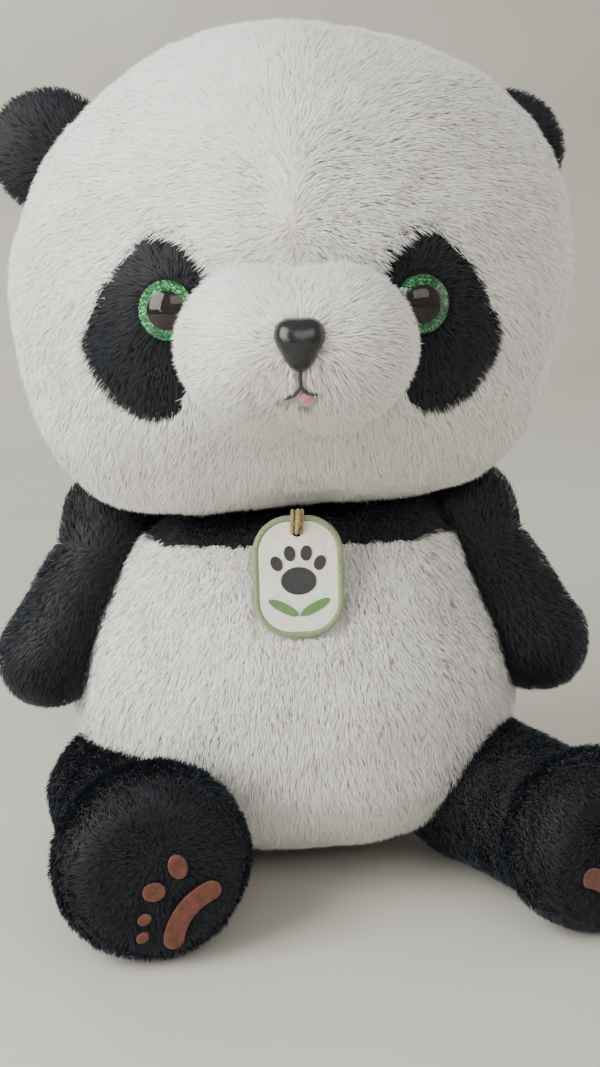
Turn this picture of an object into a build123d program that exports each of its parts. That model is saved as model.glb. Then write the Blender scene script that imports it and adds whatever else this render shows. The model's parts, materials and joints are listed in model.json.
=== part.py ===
from build123d import *
import math
import os

os.makedirs("parts", exist_ok=True)

# A seated plush panda, in millimetres. +Z is up, the panda faces -Y, and its right paw is at -X.
# The origin is the middle of the flat seat face that it sits on.

# ---- fabric ----
FABRIC = 5.0            # backing cloth and the dense foot of the pile
FILL_GAP = 0.4          # slack between a cloth panel and the filling behind it
BODY_GAP = 0.9          # slack between two pieces that move on each other

# ---- head ----
HEAD_CENTRE = Vector(0, -24, 322)
HEAD_HALF_WIDTH = 142.0
HEAD_RADIUS = 122.0     # of the round section across the width
CHIN_TOP = 246.0        # the chin panel is below this height
BROW_HEIGHT = 330.0     # the forehead panel is above this height

# ---- muzzle, nose and mouth ----
MUZZLE_CENTRE = Vector(0, -150, 304)
MUZZLE_HALF_WIDTH = 55.0
MUZZLE_RADIUS = 35.0
NOSE_WIDTH = 23.0
NOSE_HEIGHT = 20.5
NOSE_CENTRE_Z = 308.0
NOSE_FRONT = 192.5      # distance of the nose's front face ahead of the origin
NOSE_CORNER = 6.5
NOSE_EDGE = 3.2
NOSE_SINK = 6.0         # of the nose's back below the muzzle's front
NOSE_POST_RADIUS = 2.0
NOSE_POST_LENGTH = 20.0
STITCH_RADIUS = 0.9
TONGUE_WIDTH = 7.5
TONGUE_LENGTH = 7.0
TONGUE_THICKNESS = 1.5

# ---- eyes ----
EYE_X = 60.0
EYE_Z = 321.0
EYE_SPLAY = 17.0        # degrees that each eye turns outward
EYE_RADIUS = 14.0
EYE_SINK = 2.2          # depth of the eye's seat below the cloth's outer surface
DOME_HEIGHT = 8.5
DOME_RIM = 1.6          # height of the straight rim under the dome
GLITTER_THICKNESS = 0.8
PUPIL_RADIUS = 9.0
PUPIL_THICKNESS = 1.6
EYE_POST_RADIUS = 2.5
EYE_POST_LENGTH = 15.0
WASHER_RADIUS = 9.0
WASHER_THICKNESS = 1.8
WASHER_DEPTH = 8.0      # of the washer's outer face below the eye's seat
PATCH_WIDTH = 50.0
PATCH_HEIGHT = 84.0
PATCH_CORNER = 21.0
PATCH_X = 71.0
PATCH_Z = 311.0
PATCH_LEAN = 16.0       # degrees that the patch's foot leans outward

# ---- ears ----
EAR_CENTRE = Vector(127, 2, 402)
EAR_OUTWARD = Vector(0.761, 0, 0.649)
EAR_RADIUS = 33.0
EAR_HALF_THICKNESS = 11.0
EAR_EDGE = 7.0          # rounding of the ear's edge
EAR_ROOT_RADIUS = 10.0
EAR_HINGE_DROP = 9.5    # from the ear's middle in to its fold line

# ---- torso ----
BELLY_CENTRE = Vector(0, -12, 100)
BELLY_HALF_WIDTH = 127.0
BELLY_RADIUS = 112.0
TORSO_TOP = 199.0       # of the flat top, just under the head
SIDE_SEAM_Y = -10.0     # of the seam between the front and back panels
SEAT_SEAM = 14.0        # height of the seam round the seat panel
YOKE_SEAM = 190.0       # height of the seam between the belly and the chest yoke
NECK_RADIUS = 36.0
NECK_FLOOR = 186.0
NECK_HEIGHT = 60.0      # before the head's underside cuts it
TAIL_RADIUS = 17.0
TAIL_HEIGHT = 46.0
TAIL_SINK = 12.0        # of the tail's middle below the back's surface

# ---- arms ----
SHOULDER = Vector(98, -22, 190)
HAND = Vector(136, -42, 128)
SHOULDER_RADIUS = 26.0
HAND_RADIUS = 29.0

# ---- legs ----
HIP = Vector(98, -50, 46)
HIP_RADIUS = 43.5
FOOT_RADIUS = 45.8
LEG_LENGTH = 122.0      # from the hip to the flat sole
SOLE_EDGE = 13.0
RIGHT_LEG_ANGLE = -12.0 # degrees outward from straight ahead, at rest
LEFT_LEG_ANGLE = 30.0
RIGHT_LEG_SPREAD = 45.0 # further outward travel
LEFT_LEG_CLOSE = 30.0   # travel back towards straight ahead
LEFT_LEG_SPREAD = 16.0
PAD_THICKNESS = 1.2
PAD_TURN = 50.0         # degrees that the paw print leans towards the outside of the foot
PAD_INWARD = 12.0       # of the main pad's middle from the sole's middle
PAD_DROP = 12.5
PAD_BEND = 30.0         # radius of the main pad's curve
PAD_WIDTH = 10.5

# ---- hanging tag ----
TAG_WIDTH = 46.0
TAG_HEIGHT = 62.0
TAG_CORNER = 19.0
TAG_THICKNESS = 2.2
TAG_RIM_WIDTH = 3.0
TAG_RIM_THICKNESS = 3.2
TAG_TILT = 9.6          # degrees that the tag's foot leans forward on the belly
TAG_HOLE = Vector(0, -103.5, 207)
TAG_HOLE_RADIUS = 2.9
TAG_HOLE_DROP = 8.0     # from the tag's top edge
PRINT_THICKNESS = 0.5
LOOP_DIAMETER = 2.2
# The loop's route: out of the neck seam, through the tag's hole, over its top edge and back.
LOOP_ROUTE = [
    (-2.2, -65.5, 196.4), (-2.0, -79.5, 203.0), (-1.4, -94.0, 205.4), (-0.2, -107.5, 207.4),
    (0.8, -109.0, 214.5), (1.0, -102.5, 218.2), (1.4, -92.5, 213.4), (1.8, -80.0, 205.6),
    (2.2, -66.5, 196.0),
]

LARGE = 900.0


def capsule(half_length, radius):
    """A round form about X: a short straight middle between two half balls."""
    straight = half_length - radius
    slant = radius * math.sqrt(0.5)
    outline = ThreePointArc((-half_length, 0), (-straight - slant, slant), (-straight, radius))
    outline += Line((-straight, radius), (straight, radius))
    outline += ThreePointArc((straight, radius), (straight + slant, slant), (half_length, 0))
    outline += Line((half_length, 0), (-half_length, 0))
    return revolve(make_face(outline), Axis.X, 360)


def puck(radius, half_thickness, edge):
    """A thick round cushion about Y: a domed face on each side of a rounded edge."""
    reach = radius - edge
    dome = (reach ** 2 + half_thickness ** 2 - edge ** 2) / (2 * (half_thickness - edge))
    turn = math.asin(reach / (dome - edge))
    meet = (dome * math.sin(turn), half_thickness - dome * (1 - math.cos(turn)))
    crown = (dome * math.sin(turn / 2), half_thickness - dome * (1 - math.cos(turn / 2)))
    outline = ThreePointArc((0, half_thickness), crown, meet)
    outline += ThreePointArc(meet, (radius, 0), (meet[0], -meet[1]))
    outline += ThreePointArc((meet[0], -meet[1]), (crown[0], -crown[1]), (0, -half_thickness))
    outline += Line((0, -half_thickness), (0, half_thickness))
    return revolve(make_face(outline), Axis.Y, 360)


def placed(shape, origin, direction, across=(1, 0, 0)):
    """A shape built along +Z from the origin, set at a place with its Z along direction."""
    return Plane(origin=origin, x_dir=across, z_dir=direction) * shape


def block(low, high):
    """A box between two corners."""
    size = [b - a for a, b in zip(low, high)]
    return Pos(*low) * Box(*size, align=(Align.MIN, Align.MIN, Align.MIN))


def above(z):
    return block((-LARGE, -LARGE, z), (LARGE, LARGE, LARGE))


def below(z):
    return block((-LARGE, -LARGE, -LARGE), (LARGE, LARGE, z))


def side_of_x(sign, x=0.0):
    """Everything on one side of a plane across X."""
    return block((x, -LARGE, -LARGE), (LARGE, LARGE, LARGE)) if sign > 0 else block(
        (-LARGE, -LARGE, -LARGE), (x, LARGE, LARGE))


def front_of(y):
    return block((-LARGE, -LARGE, -LARGE), (LARGE, y, LARGE))


def behind(y):
    return block((-LARGE, y, -LARGE), (LARGE, LARGE, LARGE))


def mirrored(vector, side):
    """A place given for the +X side, on either side."""
    return Vector(side * vector.X, vector.Y, vector.Z)


def side_name(side):
    """The panda's own left is at +X."""
    return "left" if side > 0 else "right"


# ---------------------------------------------------------------- head forms

def head_form(inset=0.0):
    return Pos(*HEAD_CENTRE) * capsule(HEAD_HALF_WIDTH - inset, HEAD_RADIUS - inset)


def muzzle_form(inset=0.0):
    return Pos(*MUZZLE_CENTRE) * capsule(MUZZLE_HALF_WIDTH - inset, MUZZLE_RADIUS - inset)


def head_surface_y(x, z):
    """The front of the cloth at a place on the face."""
    straight = HEAD_HALF_WIDTH - HEAD_RADIUS
    across = max(abs(x - HEAD_CENTRE.X) - straight, 0)
    up = z - HEAD_CENTRE.Z
    return HEAD_CENTRE.Y - math.sqrt(HEAD_RADIUS ** 2 - across ** 2 - up ** 2)


# ---------------------------------------------------------------- torso forms

def torso_form(inset=0.0):
    """A round belly, wider than deep, cut flat at the seat and under the head."""
    belly = Pos(*BELLY_CENTRE) * capsule(BELLY_HALF_WIDTH - inset, BELLY_RADIUS - inset)
    return belly & above(inset) & below(TORSO_TOP - inset)


# ---------------------------------------------------------------- arm forms

def capsule_outline(first_radius, second_radius, length):
    """Half the outline of a tapered limb with round ends, in XZ with Z along the limb."""
    lean = math.asin((second_radius - first_radius) / length)
    low = (first_radius * math.cos(lean), -first_radius * math.sin(lean))
    high = (second_radius * math.cos(lean), length - second_radius * math.sin(lean))
    half = math.radians(45) + lean / 2
    low_mid = (first_radius * math.cos(half), -first_radius * math.sin(half))
    half = math.radians(45) - lean / 2
    high_mid = (second_radius * math.cos(half), length + second_radius * math.sin(half))
    outline = ThreePointArc((0, -first_radius), low_mid, low)
    outline += Line(low, high)
    outline += ThreePointArc(high, high_mid, (0, length + second_radius))
    outline += Line((0, length + second_radius), (0, -first_radius))
    return outline


def arm_form(side, inset=0.0):
    shoulder = mirrored(SHOULDER, side)
    hand = mirrored(HAND, side)
    outline = capsule_outline(SHOULDER_RADIUS - inset, HAND_RADIUS - inset, (hand - shoulder).length)
    limb = revolve(Plane.XZ * make_face(outline), Axis.Z, 360)
    return placed(limb, shoulder, hand - shoulder, across=(0, 1, 0))


# ---------------------------------------------------------------- leg forms

def leg_outline(inset=0.0):
    """Half the outline of a leg: a round hip, a straight shin and a flat sole with a round edge."""
    hip = HIP_RADIUS - inset
    foot = FOOT_RADIUS - inset
    sole = LEG_LENGTH - inset
    edge = SOLE_EDGE
    corner = edge * (1 - math.sqrt(0.5))
    hip_mid = (hip * math.sqrt(0.5), -hip * math.sqrt(0.5))
    outline = ThreePointArc((0, -hip), hip_mid, (hip, 0))
    outline += Line((hip, 0), (foot, sole - edge))
    outline += ThreePointArc((foot, sole - edge), (foot - corner, sole - corner), (foot - edge, sole))
    outline += Line((foot - edge, sole), (0, sole))
    outline += Line((0, sole), (0, -hip))
    return outline


def leg_direction(side, angle):
    """The way a leg points when it is turned outward by angle from straight ahead."""
    return Vector(side * math.sin(math.radians(angle)), -math.cos(math.radians(angle)), 0)


def leg_form(side, angle, inset=0.0):
    limb = revolve(Plane.XZ * make_face(leg_outline(inset)), Axis.Z, 360)
    return placed(limb, mirrored(HIP, side), leg_direction(side, angle), across=(0, 0, 1))


def leg_rest_angle(side):
    return LEFT_LEG_ANGLE if side > 0 else RIGHT_LEG_ANGLE


def leg_angles(side):
    """The most inward and the most outward angle of a leg."""
    if side > 0:
        return LEFT_LEG_ANGLE - LEFT_LEG_CLOSE, LEFT_LEG_ANGLE + LEFT_LEG_SPREAD
    return RIGHT_LEG_ANGLE, RIGHT_LEG_ANGLE + RIGHT_LEG_SPREAD


def leg_room(side):
    """The flat-topped room that a leg sweeps as it turns about the upright line through its hip."""
    inner, outer = leg_angles(side)
    hip = mirrored(HIP, side)
    radius = FOOT_RADIUS + BODY_GAP
    inner_way = leg_direction(side, inner)
    outer_way = leg_direction(side, outer)
    inner_edge = hip + radius * Vector(side * inner_way.Y, -side * inner_way.X, 0)
    outer_edge = hip - radius * Vector(side * outer_way.Y, -side * outer_way.X, 0)
    behind_hip = hip - radius * (inner_way + outer_way).normalized()
    reach = 2 * LEG_LENGTH
    outline = Line(inner_edge, inner_edge + reach * inner_way)
    outline += Line(inner_edge + reach * inner_way, outer_edge + reach * outer_way)
    outline += Line(outer_edge + reach * outer_way, outer_edge)
    outline += ThreePointArc(outer_edge, behind_hip, inner_edge)
    prism = extrude(make_face(outline), 2 * radius, dir=(0, 0, 1))
    return Pos(0, 0, -radius) * prism


# ---------------------------------------------------------------- torso

def torso_rooms():
    """Everything that is cut out of the torso so that its neighbours can move."""
    rooms = [Pos(HEAD_CENTRE.X, HEAD_CENTRE.Y, NECK_FLOOR) * disc(NECK_RADIUS + BODY_GAP, NECK_HEIGHT)]
    for side in (-1, 1):
        rooms.append(arm_form(side, -BODY_GAP))
        rooms.append(leg_room(side))
    return rooms


def without(shape, rooms):
    for room in rooms:
        shape -= room
    return shape


def largest(shape):
    """The main solid of a cloth panel, without the scraps that a room cuts off its corners."""
    return shape.solids().sort_by(SortBy.VOLUME)[-1]


def torso_parts():
    rooms = torso_rooms()
    cloth = without(torso_form() - torso_form(FABRIC), rooms)
    filling = without(torso_form(FABRIC + FILL_GAP), rooms)
    front = cloth & front_of(SIDE_SEAM_Y)
    back = cloth & behind(SIDE_SEAM_Y)
    middle = block((-LARGE, -LARGE, SEAT_SEAM), (LARGE, LARGE, YOKE_SEAM))
    tail_place = Pos(0, BELLY_CENTRE.Y + BELLY_RADIUS - TAIL_SINK, TAIL_HEIGHT)
    tail = tail_place * Sphere(TAIL_RADIUS) - torso_form()
    return {
        "belly_panel": largest(front & middle),
        "back_panel": back & middle,
        "chest_yoke": front & above(YOKE_SEAM),
        "back_yoke": back & above(YOKE_SEAM),
        "seat_base_panel": cloth & below(SEAT_SEAM),
        "torso_stuffing": filling,
        "tail": tail,
    }


def neck_parts():
    plug = Pos(HEAD_CENTRE.X, HEAD_CENTRE.Y, NECK_FLOOR + BODY_GAP) * disc(NECK_RADIUS, NECK_HEIGHT)
    return {"neck_stuffing": plug - head_form(-BODY_GAP)}


# ---------------------------------------------------------------- face details

def eye_frame(side, depth=0.0):
    """A plane at an eye's seat, or deeper, with its Z along the eye's sight line."""
    splay = math.radians(EYE_SPLAY)
    sight = Vector(side * math.sin(splay), -math.cos(splay), 0)
    seat = Vector(side * EYE_X, head_surface_y(EYE_X, EYE_Z), EYE_Z) - sight * (EYE_SINK + depth)
    return Plane(origin=seat, x_dir=(side * math.cos(splay), math.sin(splay), 0), z_dir=sight)


def disc(radius, thickness):
    return Cylinder(radius, thickness, align=(Align.CENTER, Align.CENTER, Align.MIN))


def dome():
    """A clear cap: a slice of a ball on a short straight rim."""
    rise = DOME_HEIGHT - DOME_RIM
    ball = (EYE_RADIUS ** 2 + rise ** 2) / (2 * rise)
    cap = Pos(0, 0, DOME_HEIGHT - ball) * Sphere(ball)
    return cap & disc(EYE_RADIUS, DOME_HEIGHT)


def eye_parts(side):
    """A clear dome over a pupil and a ring of glitter, on a post with a washer behind the cloth."""
    seat = eye_frame(side)
    hole = disc(EYE_POST_RADIUS + 0.1, GLITTER_THICKNESS)
    glitter = disc(EYE_RADIUS - 0.2, GLITTER_THICKNESS) - hole
    lens_floor = Pos(0, 0, GLITTER_THICKNESS)
    pupil_room = disc(PUPIL_RADIUS + 0.1, PUPIL_THICKNESS + 0.1)
    lens = lens_floor * (dome() - pupil_room)
    post = Pos(0, 0, -EYE_POST_LENGTH) * disc(EYE_POST_RADIUS, EYE_POST_LENGTH + GLITTER_THICKNESS)
    pupil = lens_floor * disc(PUPIL_RADIUS, PUPIL_THICKNESS) + post
    washer = disc(WASHER_RADIUS, WASHER_THICKNESS) - disc(EYE_POST_RADIUS + 0.1, WASHER_THICKNESS)
    washer = Pos(0, 0, -WASHER_DEPTH - WASHER_THICKNESS) * washer
    name = side_name(side)
    return {
        f"eye_lens_{name}": seat * lens,
        f"eye_pupil_{name}": seat * pupil,
        f"eye_glitter_disc_{name}": seat * glitter,
        f"eye_washer_{name}": seat * washer,
    }


def eye_seat_room(side):
    """The hollow in the cloth that an eye sits in, with the hole for its post."""
    seat = eye_frame(side)
    hollow = disc(EYE_RADIUS + 0.3, LARGE / 10)
    hole = Pos(0, 0, -EYE_POST_LENGTH - 1) * disc(EYE_POST_RADIUS + 0.2, EYE_POST_LENGTH + 2)
    return seat * (hollow + hole)


def eye_filling_room(side):
    """The hollow in the filling around an eye's post and washer."""
    depth = EYE_POST_LENGTH + 1
    return eye_frame(side) * (Pos(0, 0, -depth) * disc(WASHER_RADIUS + 0.4, depth + EYE_SINK))


def patch_prism(side):
    """The leaning oval outline of an eye patch, pushed through the face."""
    outline = RectangleRounded(PATCH_WIDTH, PATCH_HEIGHT, PATCH_CORNER)
    outline = Pos(side * PATCH_X, PATCH_Z) * Rot(0, 0, side * PATCH_LEAN) * outline
    return Pos(0, HEAD_CENTRE.Y, 0) * extrude(Plane.XZ * outline, LARGE / 4)


def nose_parts():
    """A rounded triangle of hard plastic on a post, with its washer inside the muzzle."""
    top = NOSE_CENTRE_Z + NOSE_HEIGHT / 2
    foot = NOSE_CENTRE_Z - NOSE_HEIGHT / 2
    half = NOSE_WIDTH / 2
    triangle = Polyline((-half - 3, top), (half + 3, top), (0, foot - 6), close=True)
    face = make_face(triangle)
    face = fillet(face.vertices(), NOSE_CORNER)
    back = MUZZLE_CENTRE.Y - MUZZLE_RADIUS + NOSE_SINK
    body = Pos(0, back, 0) * extrude(Plane.XZ * face, NOSE_FRONT + back)
    front_edges = body.faces().sort_by(Axis.Y)[0].edges()
    body = fillet(front_edges, NOSE_EDGE) - muzzle_form()
    post_back = MUZZLE_CENTRE.Y - MUZZLE_RADIUS + NOSE_POST_LENGTH
    post = disc(NOSE_POST_RADIUS, NOSE_FRONT + post_back - 4)
    post = Plane(origin=(0, post_back, NOSE_CENTRE_Z - 2), z_dir=(0, -1, 0)) * post
    washer = disc(WASHER_RADIUS, WASHER_THICKNESS) - disc(NOSE_POST_RADIUS + 0.1, WASHER_THICKNESS)
    washer = Plane(origin=(0, post_back - 6, NOSE_CENTRE_Z - 2), z_dir=(0, -1, 0)) * washer
    return {"nose": body + post, "nose_washer": washer}


def nose_post_room(radius, start):
    """A straight hollow into the muzzle along the nose's post, from start back."""
    hole = disc(radius, NOSE_POST_LENGTH + 20)
    return Plane(origin=(0, start, NOSE_CENTRE_Z - 2), z_dir=(0, 1, 0)) * hole


def on_muzzle(x, drop, lift):
    """A place on the muzzle's front: drop is degrees below straight ahead, lift is off the cloth."""
    beyond = max(abs(x) - (MUZZLE_HALF_WIDTH - MUZZLE_RADIUS), 0)
    radius = math.sqrt(MUZZLE_RADIUS ** 2 - beyond ** 2) + lift
    angle = math.radians(drop)
    return (x, MUZZLE_CENTRE.Y - radius * math.cos(angle), MUZZLE_CENTRE.Z - radius * math.sin(angle))


def mouth_parts():
    """A stitched line down from the nose with a hook at each side, and a small felt tongue."""
    lift = STITCH_RADIUS + 0.5
    lines = [
        ThreePointArc(on_muzzle(0, 12, lift), on_muzzle(0, 19, lift), on_muzzle(0, 26, lift)),
        ThreePointArc(on_muzzle(0, 26, lift), on_muzzle(-3.5, 34, lift), on_muzzle(-8.5, 37, lift)),
        ThreePointArc(on_muzzle(0, 26, lift), on_muzzle(3.5, 33, lift), on_muzzle(8.5, 34, lift)),
    ]
    stitching = Sphere(STITCH_RADIUS * 1.05).moved(Location(on_muzzle(0, 26, lift)))
    for line in lines:
        section = Plane(origin=line @ 0, z_dir=line % 0) * Circle(STITCH_RADIUS)
        stitching += sweep(section, path=line)
    length = TONGUE_LENGTH
    place = on_muzzle(1.5, 43, 0)
    outline = Pos(place[0], place[2]) * RectangleRounded(TONGUE_WIDTH, length, TONGUE_WIDTH / 2 - 0.3)
    prism = Pos(0, MUZZLE_CENTRE.Y, 0) * extrude(Plane.XZ * outline, 2 * MUZZLE_RADIUS)
    slab = muzzle_form(-TONGUE_THICKNESS - 0.2) - muzzle_form(-0.2)
    tongue = (slab & prism) - stitching
    return {"mouth_stitching": stitching, "tongue": tongue}


# ---------------------------------------------------------------- ears

def ear_frame(side):
    """A plane on the fold line of an ear: X along the fold, Z straight out of the head."""
    outward = mirrored(EAR_OUTWARD, side).normalized()
    fold = mirrored(EAR_CENTRE, side) - outward * EAR_HINGE_DROP
    return Plane(origin=fold, x_dir=(outward.Z, 0, -outward.X), z_dir=outward)


def ear_parts(side):
    """Two cloth halves of a thick round ear with a rounded root that turns on its fold line."""
    disc_form = Pos(0, 0, EAR_HINGE_DROP) * puck(EAR_RADIUS, EAR_HALF_THICKNESS, EAR_EDGE)
    root = Rot(0, 90, 0) * Cylinder(EAR_ROOT_RADIUS, 2 * EAR_RADIUS)
    form = (disc_form & above(0)) + (disc_form & root & below(0))
    frame = ear_frame(side)
    front_sign = 1 if frame.y_dir.Y < 0 else -1
    halves = {}
    for word, sign in (("front", front_sign), ("back", -front_sign)):
        half = block((-LARGE, 0, -LARGE), (LARGE, LARGE, LARGE)) if sign > 0 else block(
            (-LARGE, -LARGE, -LARGE), (LARGE, 0, LARGE))
        halves[f"ear_{word}_{side_name(side)}"] = frame * (form & half)
    return halves


def ear_room(side):
    length = 2 * math.sqrt(EAR_RADIUS ** 2 - EAR_HINGE_DROP ** 2) + 4
    return ear_frame(side) * (Rot(0, 90, 0) * Cylinder(EAR_ROOT_RADIUS + 1.4, length))


# ---------------------------------------------------------------- head

def head_parts():
    rooms = [ear_room(side) for side in (-1, 1)]
    cloth = without(head_form() - head_form(FABRIC), rooms)
    cloth -= muzzle_form(FABRIC - 0.2)
    filling = without(head_form(FABRIC + FILL_GAP), rooms)
    parts = {}
    patches = {}
    for side in (-1, 1):
        patch = (cloth & patch_prism(side)) - eye_seat_room(side)
        patches[f"eye_patch_{side_name(side)}"] = patch
        filling -= eye_filling_room(side)
    bare = cloth
    for side in (-1, 1):
        bare = bare - patch_prism(side)
    front = bare & front_of(HEAD_CENTRE.Y)
    back = bare & behind(HEAD_CENTRE.Y)
    middle = block((-LARGE, -LARGE, CHIN_TOP), (LARGE, LARGE, BROW_HEIGHT))
    parts["forehead_panel"] = front & above(BROW_HEIGHT)
    parts["chin_panel"] = front & below(CHIN_TOP)
    for side in (-1, 1):
        parts[f"cheek_{side_name(side)}"] = largest(front & middle & side_of_x(side))
        parts[f"head_back_{side_name(side)}"] = back & side_of_x(side)
    parts.update(patches)
    parts["head_stuffing"] = filling - nose_post_room(WASHER_RADIUS + 1, MUZZLE_CENTRE.Y)
    muzzle_shell = muzzle_form() - muzzle_form(FABRIC) - head_form()
    muzzle_shell -= nose_post_room(NOSE_POST_RADIUS + 0.1, -NOSE_FRONT)
    muzzle_fill = muzzle_form(FABRIC + FILL_GAP) - head_form(FABRIC)
    muzzle_fill -= nose_post_room(WASHER_RADIUS + 0.4, MUZZLE_CENTRE.Y - MUZZLE_RADIUS)
    for side in (-1, 1):
        muzzle_shell -= eye_seat_room(side)
        muzzle_fill -= eye_seat_room(side)
    for side in (-1, 1):
        parts[f"muzzle_panel_{side_name(side)}"] = largest(muzzle_shell & side_of_x(side))
        parts.update(eye_parts(side))
        parts.update(ear_parts(side))
    parts["muzzle_stuffing"] = muzzle_fill
    parts.update(nose_parts())
    parts.update(mouth_parts())
    return parts


# ---------------------------------------------------------------- limbs

def arm_parts(side):
    """An outer and an inner cloth panel round the filling."""
    shoulder = mirrored(SHOULDER, side)
    cloth = arm_form(side) - arm_form(side, FABRIC)
    along = (mirrored(HAND, side) - shoulder).normalized()
    outward = along.cross(Vector(0, side, 0)).normalized()
    seam = Plane(origin=shoulder, x_dir=along, z_dir=outward)
    slab = Box(LARGE, LARGE, LARGE, align=(Align.CENTER, Align.CENTER, Align.MIN))
    name = side_name(side)
    return {
        f"arm_outer_panel_{name}": cloth & (seam * slab),
        f"arm_inner_panel_{name}": cloth - (seam * slab),
        f"arm_stuffing_{name}": arm_form(side, FABRIC + FILL_GAP),
    }


def paw_print(side):
    """A curved main pad and a row of two large and two small toe pads, with Y up the print."""
    main = SlotArc(CenterArc((0, -PAD_BEND), PAD_BEND, 60, 60), PAD_WIDTH)
    toes = [
        Pos(side * -16, 17.5) * Rot(0, 0, side * 35) * Ellipse(4.8, 6.6),
        Pos(side * 0.6, 19.3) * Rot(0, 0, side * 50) * Ellipse(5.8, 5.0),
        Pos(side * 14.5, 14.5) * Rot(0, 0, side * 20) * Ellipse(3.6, 3.0),
        Pos(side * 22.5, 9.5) * Rot(0, 0, side * 20) * Ellipse(3.4, 2.8),
    ]
    return main, toes


def leg_parts(side):
    """Upper and under cloth panels, a flat sole with its embroidered pads, and the filling."""
    angle = leg_rest_angle(side)
    name = side_name(side)
    hip = mirrored(HIP, side)
    direction = leg_direction(side, angle)
    cloth = leg_form(side, angle) - leg_form(side, angle, FABRIC)
    seam_distance = LEG_LENGTH - FABRIC
    beyond = Box(LARGE, LARGE, LARGE, align=(Align.CENTER, Align.CENTER, Align.MIN))
    sole_side = placed(beyond, hip + direction * seam_distance, direction, across=(0, 0, 1))
    tube = cloth - sole_side
    main, toes = paw_print(side)
    across = direction.cross(Vector(0, 0, 1))
    sole_plane = Plane(origin=hip + direction * LEG_LENGTH, x_dir=-across, z_dir=direction)
    middle = Pos(side * -PAD_INWARD, -PAD_DROP, 0)
    sole = sole_plane.location * middle * Rot(0, 0, side * -PAD_TURN)
    pads = [extrude(toe, PAD_THICKNESS) for toe in toes]
    return {
        f"leg_upper_panel_{name}": tube & above(hip.Z),
        f"leg_under_panel_{name}": tube & below(hip.Z),
        f"sole_panel_{name}": cloth & sole_side,
        f"leg_stuffing_{name}": leg_form(side, angle, FABRIC + FILL_GAP),
        f"main_pad_{name}": sole * extrude(main, PAD_THICKNESS),
        f"toe_pads_{name}": Compound([sole * pad for pad in pads]),
    }


# ---------------------------------------------------------------- tag

def tag_frame():
    """A plane at the tag's hole: X to the panda's left, Y up the tag, Z out of its face."""
    tilt = math.radians(TAG_TILT)
    return Plane(origin=TAG_HOLE, x_dir=(1, 0, 0), z_dir=(0, -math.cos(tilt), math.sin(tilt)))


def tag_parts():
    """A felt plate with a satin-stitched rim and a printed paw mark over two leaves."""
    middle = Pos(0, TAG_HOLE_DROP - TAG_HEIGHT / 2)
    outline = middle * RectangleRounded(TAG_WIDTH, TAG_HEIGHT, TAG_CORNER)
    inner_size = (TAG_WIDTH - 2 * TAG_RIM_WIDTH, TAG_HEIGHT - 2 * TAG_RIM_WIDTH)
    inner = middle * RectangleRounded(*inner_size, TAG_CORNER - TAG_RIM_WIDTH)
    hole = Circle(TAG_HOLE_RADIUS)
    plate = Pos(0, 0, -TAG_THICKNESS / 2) * extrude(inner - hole, TAG_THICKNESS)
    rim = Pos(0, 0, -TAG_RIM_THICKNESS / 2) * extrude(outline - inner, TAG_RIM_THICKNESS)
    mark_y = TAG_HOLE_DROP - 0.47 * TAG_HEIGHT
    mark = Pos(0, mark_y - 4) * Ellipse(9, 7)
    for x, y, turn in ((-11, 5, 25), (-4.2, 10, 8), (4.2, 10, -8), (11, 5, -25)):
        mark += Pos(x, mark_y + y) * Rot(0, 0, turn) * Ellipse(2.9, 3.9)
    leaves = Sketch()
    for x, turn in ((-8, 62), (8, -62)):
        leaves += Pos(x, mark_y - 17.5) * Rot(0, 0, turn) * Ellipse(2.4, 8.5)
    face = Pos(0, 0, TAG_THICKNESS / 2)
    frame = tag_frame()
    return {
        "tag_felt": frame * plate,
        "tag_rim": frame * rim,
        "tag_mark": frame * (face * extrude(mark, PRINT_THICKNESS)),
        "tag_leaves": frame * (face * extrude(leaves, PRINT_THICKNESS)),
    }


def loop_radii():
    """The arc at each inner point of the route: 0.45 of its shorter run over tan(half the turn)."""
    points = [Vector(*p) for p in LOOP_ROUTE]
    radii = []
    for before, here, after in zip(points, points[1:], points[2:]):
        shorter = min((here - before).length, (after - here).length)
        turn = math.radians((here - before).get_angle(after - here))
        radii.append(0.45 * shorter / math.tan(turn / 2))
    return radii


def tag_loop():
    """A thin cord along the route, both ends in the neck seam."""
    path = FilletPolyline(*LOOP_ROUTE, radius=loop_radii())
    section = Plane(origin=path @ 0, z_dir=path % 0) * Circle(LOOP_DIAMETER / 2)
    return {"tag_loop": sweep(section, path=path)}


PARTS = {}
PARTS.update(torso_parts())
PARTS.update(neck_parts())
PARTS.update(head_parts())
for body_side in (-1, 1):
    PARTS.update(arm_parts(body_side))
    PARTS.update(leg_parts(body_side))
PARTS.update(tag_parts())
PARTS.update(tag_loop())

for node, shape in PARTS.items():
    export_step(shape, f"parts/{node}.step")
print(len(PARTS), "nodes")
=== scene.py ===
import json
import math

import bmesh
import bpy
import numpy as np
from mathutils import Matrix, Vector
from mathutils.bvhtree import BVHTree


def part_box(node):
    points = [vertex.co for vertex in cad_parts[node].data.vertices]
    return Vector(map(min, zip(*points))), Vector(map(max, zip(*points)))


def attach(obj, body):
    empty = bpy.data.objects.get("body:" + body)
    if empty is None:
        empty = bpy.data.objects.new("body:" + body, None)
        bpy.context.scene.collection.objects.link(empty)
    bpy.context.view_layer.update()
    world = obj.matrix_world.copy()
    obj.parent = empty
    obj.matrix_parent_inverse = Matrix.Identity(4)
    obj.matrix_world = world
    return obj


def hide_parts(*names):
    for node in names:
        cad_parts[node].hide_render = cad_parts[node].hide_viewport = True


# A seated plush panda: pile, face, paw pads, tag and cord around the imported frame, in metres.

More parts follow.
